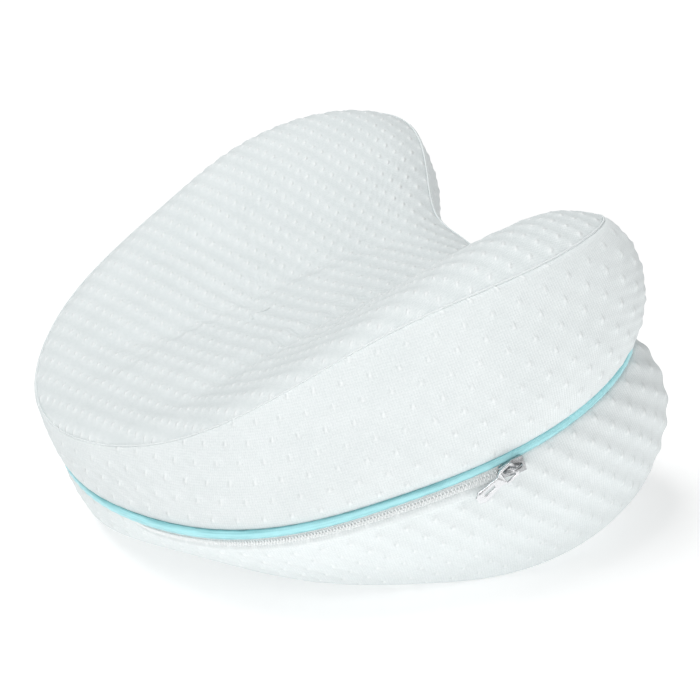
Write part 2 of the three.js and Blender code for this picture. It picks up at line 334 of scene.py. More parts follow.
def skinPoint(share, row):
    t = columnAngle(share)
    twin, side = rowTwin(row)
    if twin < crestRow:
        return placed(panelPoint(t, *panelRow(twin)), side)
    if twin <= waistRow:
        lip = cover["lipHeight"] / crestHeight(t)
        return placed(bandPoint(t, lip + (1 - lip) * (waistRow - twin) / cover["bandRows"]), side)
    deep, high = cover["tuckIn"]
    inside = waist(t) - outward(t) * deep
    return placed(Vector((inside.x, inside.y, high)), side)


def skinUv(share, row):
    t = columnAngle(share)
    twin, side = rowTwin(row)
    if twin <= seamRow:
        p = crestPlan(t) * panelRow(twin)[0]
        return panelWeave(p.x, p.y)
    up = 0
    if twin <= waistRow:
        lip = cover["lipHeight"] / crestHeight(t)
        up = lengthUp(t, lip + (1 - lip) * min(1, (waistRow - twin) / cover["bandRows"]))
    return lengthRound(share) * tucksRound / walk[-1], side * (up + cover["weaveStart"]) / cover["tuckRows"]


def skinPart(row):  # 1 is the top panel, 2 the bands, 3 the bottom panel
    twin, side = rowTwin(row if 2 * row < lastRow else row + 1)
    onPanel = row < seamRow if side > 0 else twin < seamRow
    return 2 - side if onPanel else 2


def tuckShape(a, b):  # 1 at a tuck, 0 between tucks
    return (1 + cos(2 * pi * (a + b / 2))) * (1 + cos(2 * pi * (a - b / 2))) / 4


skin = gridSkin(cover["columns"], lastRow, skinPoint, skinUv, skinPart)
print("knee pillow: cover laid out,", len(skin.faces), "faces")


def seamTree():
    lines = [placed(bandPoint(t, 1), side) for t in turns for side in (1, -1)]
    lines += [placed(waist(t)) for t in turns]
    tree = KDTree(len(lines))
    for i, p in enumerate(lines):
        tree.insert(p, i)
    tree.balance()
    return tree


seams = seamTree()

# Filling: presses the cloth out between its seams

filling = {
    "voxel": 5,
    "held": 14,  # the seams hold the cloth back for this far
    "heldFoot": (0.001, 0.008),  # so does the surface below: in metres, from and over how far
    "quality": 5,
    "pressure": 4,
    "frames": 20,
    "cap": 3.2,  # furthest that the filling pushes the cloth out
    "start": 0.6,  # the cloth starts this far inside
    "near": 6,  # the skin follows so many points of the simulated cloth
    "nearSoft": 0.0005,
}


def heldShare(p):  # 1 on a seam or on the surface below, 0 where the cloth is free
    seam = 1 - seams.find(p)[2] / (filling["held"] * mm)
    low, fade = filling["heldFoot"]
    return min(1, max(0, seam, 1 - (p.z - low) / fade))


def puffed():  # the cloth's moves, with a tree to look them up by place
    start = newMesh("puffCloth", skin.copy())
    even = start.modifiers.new("even", "REMESH")
    even.mode = "VOXEL"
    even.voxel_size = filling["voxel"] * mm
    graph = bpy.context.evaluated_depsgraph_get()
    evenMesh = bpy.data.meshes.new_from_object(start.evaluated_get(graph))
    start.modifiers.clear()
    start.data = evenMesh
    held = start.vertex_groups.new(name="held")
    for v in evenMesh.vertices:
        held.add([v.index], heldShare(v.co), "REPLACE")
    cloth = start.modifiers.new("cloth", "CLOTH")
    cloth.settings.quality = filling["quality"]
    cloth.settings.use_pressure = True
    cloth.settings.uniform_pressure_force = filling["pressure"]
    cloth.settings.vertex_group_mass = "held"
    cloth.settings.effector_weights.gravity = 0
    cloth.collision_settings.use_collision = False
    cloth.point_cache.frame_start = 1
    cloth.point_cache.frame_end = filling["frames"]
    for number in range(1, filling["frames"] + 1):
        bpy.context.scene.frame_set(number)
    graph = bpy.context.evaluated_depsgraph_get()
    full = bpy.data.meshes.new_from_object(start.evaluated_get(graph))
    moves = [full.vertices[v.index].co - v.co for v in evenMesh.vertices]
    tree = KDTree(len(moves))
    for v in evenMesh.vertices:
        tree.insert(v.co, v.index)
    tree.balance()
    bpy.context.scene.frame_set(1)
    bpy.data.objects.remove(start)
    return tree, moves


def puffSkin(bm):
    tree, moves = puffed()
    bm.normal_update()
    cap = filling["cap"] * mm
    change = {}
    for v in bm.verts:
        near = tree.find_n(v.co, filling["near"])
        weights = [1 / (d + filling["nearSoft"]) for _, _, d in near]
        push = sum((moves[i].dot(v.normal) * w for (_, i, _), w in zip(near, weights)), 0.0) / sum(weights)
        free = 1 - heldShare(v.co)
        change[v] = v.normal * (max(-cap, min(cap, push)) * free - filling["start"] * mm * free)
    for v, move in change.items():
        v.co += move
    sizes = [m.length for m in change.values()]
    pushes = sorted(m.length for m in moves)
    print("knee pillow: filling pushed", round(pushes[len(pushes) // 2] * 1000, 2), "mm at the middle,",
          round(sum(sizes) / len(sizes) * 1000, 2), "mm kept on average")


def endShare(p):  # 1 at the thin end and the notch end, 0 along the near and far walls
    low, fade = cover["ends"]
    return min(1, max(0, (abs(p.y) - low) / fade))


def raiseQuilting(bm):
    uv = bm.loops.layers.uv["weave"]
    part = bm.faces.layers.int["part"]
    low, fade = cover["calmFoot"]
    onPanels, onLowerBand, onUpperBand = cover["ribHigh"]
    bm.normal_update()
    change = {}
    for v in bm.verts:
        loop = v.link_loops[0]
        a, b = loop[uv].uv
        free = min(1, max(0, (v.co.z - low) / fade)) * min(1, seams.find(v.co)[2] / cover["calmSeam"])
        if loop.face[part] != 2:
            rib = onPanels * cos(2 * pi * (a - b / 2)) / 2
        elif b < 0:
            rib = onLowerBand * cos(2 * pi * (a + b / 2)) / 2
        else:
            rib = onUpperBand * cos(2 * pi * (a + b * 1.5)) / 2 * endShare(v.co)
        stitch = cover["stitchHigh"] * (tuckShape(a, b) - cover["stitchMean"])
        change[v] = v.normal * (mm * free * (stitch + rib))
    for v, move in change.items():
        v.co += move


puffSkin(skin)
raiseQuilting(skin)


def onlyPart(number):
    bm = skin.copy()
    part = bm.faces.layers.int["part"]
    bmesh.ops.delete(bm, geom=[f for f in bm.faces if f[part] != number], context="FACES")
    return bm


def pillowBody():  # the bands, and a bed sunk under each panel
    bm = skin.copy()
    part = bm.faces.layers.int["part"]
    bm.normal_update()
    deep = (cover["panelThick"] + cover["bedGap"]) * mm
    sunk = {v for f in bm.faces if f[part] != 2 for v in f.verts}
    edge = {v for v in sunk if any(f[part] == 2 for f in v.link_faces)}
    change = {v: v.normal * -(cover["edgeSink"] if v in edge else deep) for v in sunk}
    for v, move in change.items():
        v.co += move
        v.co.z = max(v.co.z, cover["edgeFloor"] if v in edge else deep)
    return newMesh("pillowBody", bm)


def saddlePanel(name, number):
    bm = onlyPart(number)
    up = sum(f.normal.z * f.calc_area() for f in bm.faces)
    if (up > 0) != (number == 1):
        bmesh.ops.reverse_faces(bm, faces=bm.faces)
    panel = newMesh(name, bm)
    thick = panel.modifiers.new("thick", "SOLIDIFY")
    thick.thickness = cover["panelThick"] * mm
    thick.offset = -1
    return panel


thread = {
    "radius": 0.4,
    "sides": 6,
    "out": 0.6,  # in radiuses, from the panel's last row
    "sink": 0.2,
    "weavePlace": (0.5, 0.5),  # its cloth has no stitch there
}


def seamThread(name, side):  # a strand of the topstitching in each crest seam
    radius = thread["radius"]

    def threadPoint(share, row):
        t = columnAngle(share)
        angle = 2 * pi * row / thread["sides"]
        p = panelPoint(t, cover["rimShares"][-1], cover["rimSinks"][-1])
        plan = p.xy + outward(t).xy * radius * (thread["out"] + cos(angle))
        return placed(Vector((plan.x, plan.y, p.z + radius * (sin(angle) - thread["sink"]))), side)

    def threadUv(share, row):
        return thread["weavePlace"]

    return newMesh(name, gridSkin(cover["columns"], thread["sides"], threadPoint, threadUv))


body = pillowBody()
threads = [seamThread("upperThread", 1), seamThread("lowerThread", -1)]
topPanel = saddlePanel("topPanel", 1)
bottomPanel = saddlePanel("bottomPanel", 3)
skin.free()
print("knee pillow: body and panels sewn")

# Waist piping: a satin strip folded round a cord

piping = {
    "columns": 620,
    "sides": 18,
    "radius": 1.8,
    "foldLong": 6.5,  # the satin strip lies in slack slanted folds
    "foldDeep": 0.045,
    # each fold's strength, share of the turns along the cord, waves round it, and phase
    "folds": [(1, 1, 1, 0), (0.8, 1, -2, 1), (0.6, 0, 3, 0.4)],
    "thinEndSink": 1.7,  # the cloth closes over it there
}


def cordPoint(share, row):
    t = columnAngle(share)
    angle = 2 * pi * row / piping["sides"]
    turn = 2 * pi * round(walk[-1] / piping["foldLong"]) * lengthRound(share) / walk[-1]
    fold = sum(s * sin(k * turn + w * angle + phase) for s, k, w, phase in piping["folds"])
    radius = piping["radius"] * (1 + piping["foldDeep"] * fold)
    out = pillow["pipingOut"] - piping["thinEndSink"] * thinEndShare(t)
    plan = waist(t) + outward(t) * (out + radius * cos(angle))
    return placed(Vector((plan.x, plan.y, radius * sin(angle))))


def cordUv(share, row):  # millimetres along the cord and round it
    return lengthRound(share), 2 * pi * piping["radius"] * row / piping["sides"]


waistCord = newMesh("waistCord", gridSkin(piping["columns"], piping["sides"], cordPoint, cordUv))
print("knee pillow: piping laid in the waist")

# Zip: tape and coil below the piping, with its slider and pull

zipper = {
    "from": -69,  # degrees round from the +X side
    "tucked": 8,  # degrees over which its thin end runs in behind the piping
    "to": 19.6,
    "slider": 18.1,
    "crown": -0.04,  # place of the coil's middle down the zip's strip of band
    "strip": (3.2, 11, 0.62),  # its top and foot below the waist, and the foot's furthest share of the band
    "stripRun": 0.03,  # radians to each side over which its direction is taken
    "tuckedIn": (2.2, 1.6),  # at the thin end it sinks and rises this far
    "tapeWide": 5.0,
    "tapeThick": 0.5,
    "tapeOff": 0.6,
    "tapeDown": 0.4,
    "tapeColumns": 150,
    "tapeWeave": 1.2,  # of its threads, from row to row of the section
    "pieces": 60,  # its length is measured in so many
    "toothPitch": 1.15,
    "tooth": (0.62, 1.7, 0.9),  # along the zip, across it and high
    "toothLift": 0.3,
    "toothSlant": 8,
    "toothBevel": 0.24,
    "rowsApart": 1.15,
}

# round the tape's section, across in half widths and up in thicknesses
tapeSection = [(-1, 0), (-1, 1), (-0.5, 1), (0, 1), (0.5, 1), (1, 1), (1, 0), (0, 0), (-1, 0)]

welt = {  # the band's cloth is folded back along the zip
    "before": 2,  # degrees by which it starts before the zip
    "longer": 2.5,  # degrees by which it is longer
    "columns": 190,
    "sides": 8,
    "wide": 4.2,
    "high": 1.9,
    "crown": 0.4,
    "sunk": 0.2,  # in heights, into the band
    "taper": 9,  # its ends narrow over one part in so many of its length
    "endRise": 0.35,  # its end closes over the slider
    "endFrom": 0.93,
    "weaveUp": 0.3,
}


def stripAt(t, across, off):  # a place on the strip of the lower band that the zip lies on
    tucked = shareNear(t, zipper["from"], zipper["tucked"])
    high, low, lowest = zipper["strip"]
    sink, rise = zipper["tuckedIn"]
    off -= sink * tucked
    lip = (high - rise * tucked) / crestHeight(t)
    top = placed(bandPoint(t, lip), -1)
    foot = placed(bandPoint(t, min(low / crestHeight(t), lowest)), -1)
    ahead = placed(bandPoint(t + zipper["stripRun"], lip), -1)
    behind = placed(bandPoint(t - zipper["stripRun"], lip), -1)
    run = (ahead - behind).normalized()
    out = (foot - top).cross(run).normalized()
    return top + (foot - top) * across + out * off * mm, run, out


def onStrip(t, across, off):  # matrix with x along the zip, y up the band and z out of it
    place, run, out = stripAt(t, across, off)
    up = out.cross(run)
    return Matrix.Translation(place) @ Matrix((run, up, out)).transposed().to_4x4()


def zipAngle(share):
    return radians(zipper["from"] + (zipper["to"] - zipper["from"]) * share)


def tapePoint(share, row):
    half = zipper["tapeWide"] / 2 * mm
    side, top = tapeSection[row]
    matrix = onStrip(zipAngle(share), zipper["crown"], zipper["tapeOff"])
    return matrix @ Vector((0, side * half - zipper["tapeDown"] * mm, top * zipper["tapeThick"] * mm))


def zipLength():
    pieces = zipper["pieces"]
    points = [stripAt(zipAngle(i / pieces), zipper["crown"], 1)[0] for i in range(pieces + 1)]
    return sum((points[i + 1] - points[i]).length for i in range(pieces)) / mm


def tapeUv(share, row):
    return share * zipLongs, row * zipper["tapeWeave"]


def zipTape():
    bm = gridSkin(zipper["tapeColumns"], len(tapeSection) - 1, tapePoint, tapeUv)
    ends = [e for e in bm.edges if e.is_boundary]
    bmesh.ops.holes_fill(bm, edges=ends, sides=0)
    bmesh.ops.recalc_face_normals(bm, faces=bm.faces)
    return newMesh("zipTape", bm)


def zipCoil():
    bm = bmesh.new()
    count = int(zipLongs / zipper["toothPitch"])
    size = Matrix.Diagonal([s * mm for s in zipper["tooth"]]).to_4x4()
    for i in range(count):
        for row in (-1, 1):
            t = zipAngle((i + 0.25 * row + 0.5) / count)  # the rows' teeth take turns
            lift = zipper["tapeOff"] + zipper["tapeThick"] + zipper["toothLift"]
            matrix = onStrip(t, zipper["crown"], lift)
            slant = Matrix.Rotation(radians(zipper["toothSlant"]) * row, 4, "Z")
            shift = Matrix.Translation((0, row * zipper["rowsApart"] / 2 * mm, 0))
            bmesh.ops.create_cube(bm, size=1, matrix=matrix @ shift @ slant @ size)
    bmesh.ops.bevel(bm, geom=bm.edges[:], offset=zipper["toothBevel"] * mm, segments=1, profile=0.5,
                    affect="EDGES", material=-1)
    return newMesh("zipCoil", bm)


def weltPoint(share, row):  # rows run three quarters of the way round a roll
    t = radians(zipper["from"] - welt["before"] + (zipper["to"] + welt["longer"] - zipper["from"]) * share)
    taper = min(1, welt["taper"] * share, welt["taper"] * (1 - share)) ** 0.5
    angle = pi * (row / welt["sides"] * 1.5 - 0.25)
    side = welt["wide"] / 2 * cos(angle) * taper
    high = welt["high"] * taper * (sin(angle) + welt["sunk"]) / (1 + welt["sunk"])
    crown = welt["crown"] - welt["endRise"] * max(0, share - welt["endFrom"]) / (1 - welt["endFrom"])
    return onStrip(t, crown, 0) @ Vector((0, -side * mm, high * mm))


def weltUv(share, row):
    return share * zipLongs / cover["tuckAcross"], row / (welt["sides"] + 1) + welt["weaveUp"]


def zipWelt():
    return newMesh("zipWelt", gridSkin(welt["columns"], welt["sides"], weltPoint, weltUv))


zipLongs = zipLength()
weltRoll = zipWelt()
tape = zipTape()
coil = zipCoil()
print("knee pillow: zip laid,", round(zipLongs), "mm long")

# Slider and pull of the zip

slider = {
    "long": 9.5,
    "wide": 5.8,
    "nose": 3.8,
    "widens": 0.1,  # where it reaches its full width, in lengths past its middle
    "thick": 2.2,
    "plate": 0.85,
    "sole": 0.5,
    "soleShare": (0.96, 0.94),  # of the plate's length and width
    "flange": 0.6,
    "flangeIn": (0.3, 0.1),  # from the plate's ends and sides
    "bridgeHalf": 3.2,
    "bridgeHigh": 3.3,
    "bridgeBar": 0.68,
    "bridgeSunk": 0.35,
    "bridgeSteps": 14,
    "barSides": 12,
    "bevel": 0.2,
    "lift": 1.2,  # its sole over the band
}


def plateFrom(bm, outline, low, high, holes=()):  # a flat plate between two heights
    loops = []
    for points in [outline, *holes]:
        verts = [bm.verts.new((x * mm, y * mm, low * mm)) for x, y in points]
        loops += [bm.edges.new((a, b)) for a, b in zip(verts, verts[1:] + verts[:1])]
    filled = bmesh.ops.triangle_fill(bm, edges=loops, use_beauty=True)
    faces = [g for g in filled["geom"] if isinstance(g, bmesh.types.BMFace)]
    raised = bmesh.ops.extrude_face_region(bm, geom=faces)
    top = [g for g in raised["geom"] if isinstance(g, bmesh.types.BMVert)]
    bmesh.ops.translate(bm, verts=top, vec=(0, 0, (high - low) * mm))


def roundRims(bm, width, sharpTurn=0.6):  # softens every sharp edge and turns the faces outwards
    bmesh.ops.recalc_face_normals(bm, faces=bm.faces)
    sharp = [e for e in bm.edges if len(e.link_faces) == 2 and e.calc_face_angle() > sharpTurn]
    bmesh.ops.bevel(bm, geom=sharp, offset=width * mm, segments=2, profile=0.5, affect="EDGES", material=-1)


def zipSlider():
    s = slider
    bm = bmesh.new()
    ring = bmesh.ops.create_circle(bm, segments=s["barSides"], radius=s["bridgeBar"] * mm)["verts"]
    bmesh.ops.translate(bm, verts=ring, vec=(-s["bridgeHalf"] * mm, 0, 0))
    bmesh.ops.spin(bm, geom=bm.verts[:] + bm.edges[:], angle=pi, steps=s["bridgeSteps"], axis=(0, 1, 0),
                   cent=(0, 0, 0))
    bmesh.ops.holes_fill(bm, edges=[e for e in bm.edges if e.is_boundary], sides=0)
    bmesh.ops.scale(bm, verts=bm.verts, vec=(1, 1, s["bridgeHigh"] / s["bridgeHalf"]))
    bmesh.ops.translate(bm, verts=bm.verts, vec=(0, 0, (s["thick"] - s["bridgeSunk"]) * mm))
    end, knee, wide, nose = s["long"] / 2, s["long"] * s["widens"], s["wide"] / 2, s["nose"] / 2
    outline = [(-end, -nose), (knee, -wide), (end, -wide), (end, wide), (knee, wide), (-end, nose)]
    plateFrom(bm, outline, s["thick"] - s["plate"], s["thick"])
    longShare, wideShare = s["soleShare"]
    plateFrom(bm, [(x * longShare, y * wideShare) for x, y in outline], 0, s["sole"])
    endIn, sideIn = s["flangeIn"]
    end, wide, nose = end - endIn, wide - sideIn, nose - sideIn
    for side in (-1, 1):  # flanges that hold the coil's two rows
        outer = [(-end, nose), (knee, wide), (end, wide)]
        flange = outer + [(x, y - s["flange"]) for x, y in reversed(outer)]
        plateFrom(bm, [(x, y * side) for x, y in flange], endIn, s["thick"] - endIn)
    roundRims(bm, s["bevel"])
    return newMesh("zipSlider", bm)


pull = {
    "long": 18,
    "head": 6.2,
    "neck": 3.6,
    "tip": 4.8,
    "thick": 1.0,
    "headEnd": 0.4,  # before the eye's far rim
    "neckStart": 2,  # past it
    "tipLong": 3,
    "corner": 1,
    "tipCorner": 1.2,
    "eyeLong": 4.6,
    "eyeWide": 4.2,
    "slotHalf": 0.5,
    "slot": (9, 13.6),
    "bevel": 0.22,
    "lift": 0.35,  # over the slider's plate
    "turn": 108,
}


def zipPull():
    p = pull
    rim = (p["head"] - p["eyeWide"]) / 2
    head, neck, tip = p["head"] / 2, p["neck"] / 2, p["tip"] / 2
    half = [(head - p["corner"], -rim), (head, p["corner"] - rim), (head, p["eyeLong"] - p["headEnd"]),
            (neck, p["eyeLong"] + p["neckStart"]), (tip, p["long"] - p["tipLong"]),
            (tip - p["tipCorner"], p["long"] - rim)]
    outline = half + [(-x, y) for x, y in reversed(half)]

    def opening(wide, low, high):
        return [(-wide, low), (wide, low), (wide, high), (-wide, high)]

    eye = opening(p["eyeWide"] / 2, rim / 2, p["eyeLong"])
    slot = opening(p["slotHalf"], *p["slot"])
    bm = bmesh.new()
    plateFrom(bm, outline, 0, p["thick"], [eye, slot])
    roundRims(bm, p["bevel"])
    bmesh.ops.rotate(bm, verts=bm.verts, matrix=Matrix.Rotation(radians(p["turn"]), 3, "Z"))
    bmesh.ops.translate(bm, verts=bm.verts, vec=(0, 0, (slider["thick"] + p["lift"]) * mm))
    return newMesh("zipPull", bm)


sliderPlace = onStrip(radians(zipper["slider"]), zipper["crown"], slider["lift"])
sliderBody = zipSlider()
pullTab = zipPull()
for piece in (sliderBody, pullTab):
    piece.data.transform(sliderPlace)
print("knee pillow: slider and pull fitted")

# Finishes


def newGroup(name, inputs, outputs):
    group = bpy.data.node_groups.new(name, "ShaderNodeTree")
    for socket, kind in inputs:
        group.interface.new_socket(socket, in_out="INPUT", socket_type=kind)
    for socket, kind in outputs:
        group.interface.new_socket(socket, in_out="OUTPUT", socket_type=kind)
    return group, group.nodes.new("NodeGroupInput"), group.nodes.new("NodeGroupOutput")


def mathNode(tree, operation, first, second=None):  # numbers or sockets in, one socket out
    node = tree.nodes.new("ShaderNodeMath")
    node.operation = operation
    for i, value in enumerate((first, second)):
        if value is None:
            continue
        if isinstance(value, (int, float)):
            node.inputs[i].default_value = value
        else:
            tree.links.new(value, node.inputs[i])
    return node.outputs[0]


def clampedShare(tree, value):  # held between 0 and 1
    return mathNode(tree, "MAXIMUM", mathNode(tree, "MINIMUM", value, 1), 0)


def scaled(tree, value, factor):
    return mathNode(tree, "MULTIPLY", value, factor)


def latticeWave(tree, a, b, sign):  # (1 + cos of one diagonal of the tuck lattice) / 2
    diagonal = mathNode(tree, "ADD", a, scaled(tree, b, 0.5 * sign))
    wave = mathNode(tree, "COSINE", scaled(tree, diagonal, 2 * pi))
    return scaled(tree, mathNode(tree, "ADD", wave, 1), 0.5)


needlework = {
    "mound": 5,  # the higher, the smaller the spot
    "stitch": 11,
    "shadow": 22,
    "shadowShift": (0.045, -0.05),
    "ribShare": 0.35,  # how much of the valleys' shade follows the ribs, not the spots
    "knitLean": 0.9,
}


def tuckGroup():  # the quilting's raised spot, the stitch on it, the shadow beside it and the valleys
    masks = [(name, "NodeSocketFloat") for name in ("Mound", "Stitch", "Shadow", "Valley")]
    group, start, end = newGroup("quiltTucks", [("Weave", "NodeSocketVector")], masks)
    split = group.nodes.new("ShaderNodeSeparateXYZ")
    group.links.new(start.outputs["Weave"], split.inputs[0])
    a, b = split.outputs["X"], split.outputs["Y"]
    spot = mathNode(group, "MULTIPLY", latticeWave(group, a, b, 1), latticeWave(group, a, b, -1))
    group.links.new(mathNode(group, "POWER", spot, needlework["mound"]), end.inputs["Mound"])
    group.links.new(mathNode(group, "POWER", spot, needlework["stitch"]), end.inputs["Stitch"])
    beside = mathNode(group, "ADD", a, needlework["shadowShift"][0])
    above = mathNode(group, "ADD", b, needlework["shadowShift"][1])
    shadow = mathNode(group, "MULTIPLY", latticeWave(group, beside, above, 1),
                      latticeWave(group, beside, above, -1))
    group.links.new(mathNode(group, "POWER", shadow, needlework["shadow"]), end.inputs["Shadow"])
    raised = mathNode(group, "ADD", scaled(group, latticeWave(group, a, b, -1), needlework["ribShare"]),
                      scaled(group, spot, 1 - needlework["ribShare"]))
    group.links.new(mathNode(group, "SUBTRACT", 1, raised), end.inputs["Valley"])
    return group


def knitGroup():  # fine loops of the knit, in columns across and rows along
    inputs = [("Weave", "NodeSocketVector"), ("Columns", "NodeSocketFloat"), ("Rows", "NodeSocketFloat")]
    group, start, end = newGroup("fineKnit", inputs, [("Loops", "NodeSocketFloat")])
    split = group.nodes.new("ShaderNodeSeparateXYZ")
    group.links.new(start.outputs["Weave"], split.inputs[0])
    across = scaled(group, scaled(group, split.outputs["X"], start.outputs["Columns"]), 2 * pi)
    along = scaled(group, scaled(group, split.outputs["Y"], start.outputs["Rows"]), 2 * pi)
    columns = mathNode(group, "COSINE", across)
    lean = scaled(group, columns, needlework["knitLean"])
    rows = mathNode(group, "SINE", mathNode(group, "ADD", along, lean))
    loops = scaled(group, mathNode(group, "ADD", rows, columns), 0.25)
    group.links.new(mathNode(group, "ADD", loops, 0.5), end.inputs["Loops"])
    return group


quiltTucks = tuckGroup()
fineKnit = knitGroup()


def newMaterial(name, colour, roughness):
    material = bpy.data.materials.new(name)
    material.use_nodes = True
    shader = material.node_tree.nodes["Principled BSDF"]
    shader.inputs["Base Color"].default_value = (*colour, 1)
    shader.inputs["Roughness"].default_value = roughness
    return material, material.node_tree, shader


def placeGroup(tree, group, uv, **values):
    node = tree.nodes.new("ShaderNodeGroup")
    node.node_tree = group
    tree.links.new(uv, node.inputs["Weave"])
    for socket, value in values.items():
        node.inputs[socket].default_value = value
    return node


def weaveCoordinates(tree):
    node = tree.nodes.new("ShaderNodeUVMap")
    node.uv_map = "weave"
    return node.outputs["UV"]


def objectNoise(tree, scale, detail):
    coordinates = tree.nodes.new("ShaderNodeTexCoord")
    noise = tree.nodes.new("ShaderNodeTexNoise")
    noise.inputs["Scale"].default_value = scale
    noise.inputs["Detail"].default_value = detail
    tree.links.new(coordinates.outputs["Object"], noise.inputs["Vector"])
    return noise.outputs["Fac"]


def bumped(tree, height, distance, normal=None):
    bump = tree.nodes.new("ShaderNodeBump")
    bump.inputs["Distance"].default_value = distance
    bump.inputs["Strength"].default_value = 1
    tree.links.new(height, bump.inputs["Height"])
    if normal:
        tree.links.new(normal, bump.inputs["Normal"])
    return bump.outputs["Normal"]


def shadeBetween(tree, amount, dark, light):
    mix = tree.nodes.new("ShaderNodeMix")
    mix.data_type = "RGBA"
    tree.links.new(amount, mix.inputs["Factor"])
    mix.inputs["A"].default_value = (*dark, 1)
    mix.inputs["B"].default_value = (*light, 1)
    return mix.outputs["Result"]


clothFinish = {
    "light": (0.885, 0.922, 0.925),
    "dark": (0.58, 0.64, 0.645),
    "shade": 0.19,  # all over
    "knit": (11.0, 7.0),  # loops across and along each cell of the quilting
    "knitShade": 0.2,
    "knitDeep": 0.00005,
    "grain": (1400, 2),  # noise scale and detail
    "grainShade": 0.5,
    "uneven": (55, 3),
    "unevenShade": 0.25,
    "unevenDeep": 0.0005,
    "stitchHigh": 0.00045,
    "stitchGloss": 0.4,
    "rough": 0.92,
    "sheen": 0.04,
    "sheenRough": 0.5,
}


def quiltedCloth(name, ribShade, shadowShade, stitchShine):
    finish = clothFinish
    material, tree, shader = newMaterial(name, finish["light"], finish["rough"])
    uv = weaveCoordinates(tree)
    tucks = placeGroup(tree, quiltTucks, uv)
    knit = placeGroup(tree, fineKnit, uv, Columns=finish["knit"][0], Rows=finish["knit"][1])
    uneven = objectNoise(tree, *finish["uneven"])
    grain = objectNoise(tree, *finish["grain"])
    # painted light in the colour: painted shade in the quilting's valleys, a painted shadow beside each
    # tuck and a painted highlight on each stitch
    valley = scaled(tree, tucks.outputs["Valley"], ribShade)
    shadow = mathNode(tree, "ADD", valley, scaled(tree, tucks.outputs["Shadow"], shadowShade))
    paintedShadeAndHighlight = mathNode(tree, "SUBTRACT", shadow, scaled(tree, tucks.outputs["Stitch"], stitchShine))
    fibre = scaled(tree, mathNode(tree, "SUBTRACT", 1, knit.outputs["Loops"]), finish["knitShade"])
    speck = scaled(tree, mathNode(tree, "SUBTRACT", grain, 0.5), finish["grainShade"])
    cloudy = scaled(tree, mathNode(tree, "SUBTRACT", uneven, 0.5), finish["unevenShade"])
    amount = mathNode(tree, "ADD", mathNode(tree, "ADD", paintedShadeAndHighlight, fibre), mathNode(tree, "ADD", speck, cloudy))
    amount = clampedShare(tree, mathNode(tree, "ADD", amount, finish["shade"]))
    tree.links.new(shadeBetween(tree, amount, finish["light"], finish["dark"]), shader.inputs["Base Color"])
    gloss = scaled(tree, tucks.outputs["Stitch"], finish["stitchGloss"])
    tree.links.new(mathNode(tree, "SUBTRACT", finish["rough"], gloss), shader.inputs["Roughness"])
    normal = bumped(tree, uneven, finish["unevenDeep"])
    normal = bumped(tree, tucks.outputs["Mound"], finish["stitchHigh"], normal)
    normal = bumped(tree, knit.outputs["Loops"], finish["knitDeep"], normal)
    tree.links.new(normal, shader.inputs["Normal"])
    shader.inputs["Sheen Weight"].default_value = finish["sheen"]
    shader.inputs["Sheen Roughness"].default_value = finish["sheenRough"]
    return material


satin = {
    "dark": (0.15, 0.46, 0.5),
    "light": (0.46, 0.87, 0.92),
    "rough": 0.34,
    "threads": (1.7, 1.1),  # columns and rows in a millimetre
    "threadShade": 0.25,
    "threadDeep": 0.00008,
    "streaks": (0.045, 0.75, 1),  # painted sheen and shade of the satin's folds; they run with the cord
    "streakMean": 0.32,
    "streakShade": 2.1,
    "pattern": 0.8,  # strength of threads and streaks together
    "highlightTurn": 0.45,  # radians up from the cord's outermost line to its painted highlight
    "shade": 0.42,
    "uneven": (240, 2),
    "unevenDeep": 0.0005,
    "sheen": 0.3,
}


def satinPiping():
    material, tree, shader = newMaterial("satinPiping", satin["light"], satin["rough"])
    uv = weaveCoordinates(tree)
    threads = placeGroup(tree, fineKnit, uv, Columns=satin["threads"][0], Rows=satin["threads"][1])
    drawn = tree.nodes.new("ShaderNodeMapping")
    drawn.inputs["Scale"].default_value = satin["streaks"]
    streaks = tree.nodes.new("ShaderNodeTexNoise")
    streaks.inputs["Scale"].default_value = 1
    tree.links.new(uv, drawn.inputs["Vector"])
    tree.links.new(drawn.outputs["Vector"], streaks.inputs["Vector"])
    fine = scaled(tree, threads.outputs["Loops"], satin["threadShade"])
    # painted sheen and shade of the satin's folds, in streaks along the cord
    streaked = mathNode(tree, "SUBTRACT", streaks.outputs["Fac"], satin["streakMean"])
    broad = scaled(tree, streaked, satin["streakShade"])
    split = tree.nodes.new("ShaderNodeSeparateXYZ")
    tree.links.new(uv, split.inputs[0])
    # painted highlight along the cord's upper face, with painted shade on its lower and back faces
    angle = mathNode(tree, "DIVIDE", split.outputs["Y"], piping["radius"])
    highlightWave = mathNode(tree, "COSINE", mathNode(tree, "SUBTRACT", angle, satin["highlightTurn"]))
    face = mathNode(tree, "POWER", mathNode(tree, "MAXIMUM", highlightWave, 0), 2)
    total = mathNode(tree, "ADD", scaled(tree, mathNode(tree, "ADD", fine, broad), satin["pattern"]), face)
    amount = clampedShare(tree, mathNode(tree, "SUBTRACT", total, satin["shade"]))
    tree.links.new(shadeBetween(tree, amount, satin["dark"], satin["light"]), shader.inputs["Base Color"])
    normal = bumped(tree, objectNoise(tree, *satin["uneven"]), satin["unevenDeep"])
    normal = bumped(tree, threads.outputs["Loops"], satin["threadDeep"], normal)
    tree.links.new(normal, shader.inputs["Normal"])
    shader.inputs["Sheen Weight"].default_value = satin["sheen"]
    return material


zipFinish = {
    "tapeDark": (0.74, 0.77, 0.77),
    "tapeLight": (0.88, 0.91, 0.91),
    "tapeRough": 0.85,
    "tapeThreads": (1.4, 1.6),
    "tapeDeep": 0.00015,
    "coilDark": (0.8, 0.83, 0.83),
    "coilLight": (0.93, 0.95, 0.95),
    "coilRough": 0.38,
    "coilGrain": (900, 2),
    "coilDeep": 0.00006,
    "scratches": (1600, 4),
    "scratchDeep": 0.00003,
    "metalRough": (0.12, 0.22),  # least, and what the scratches add
}


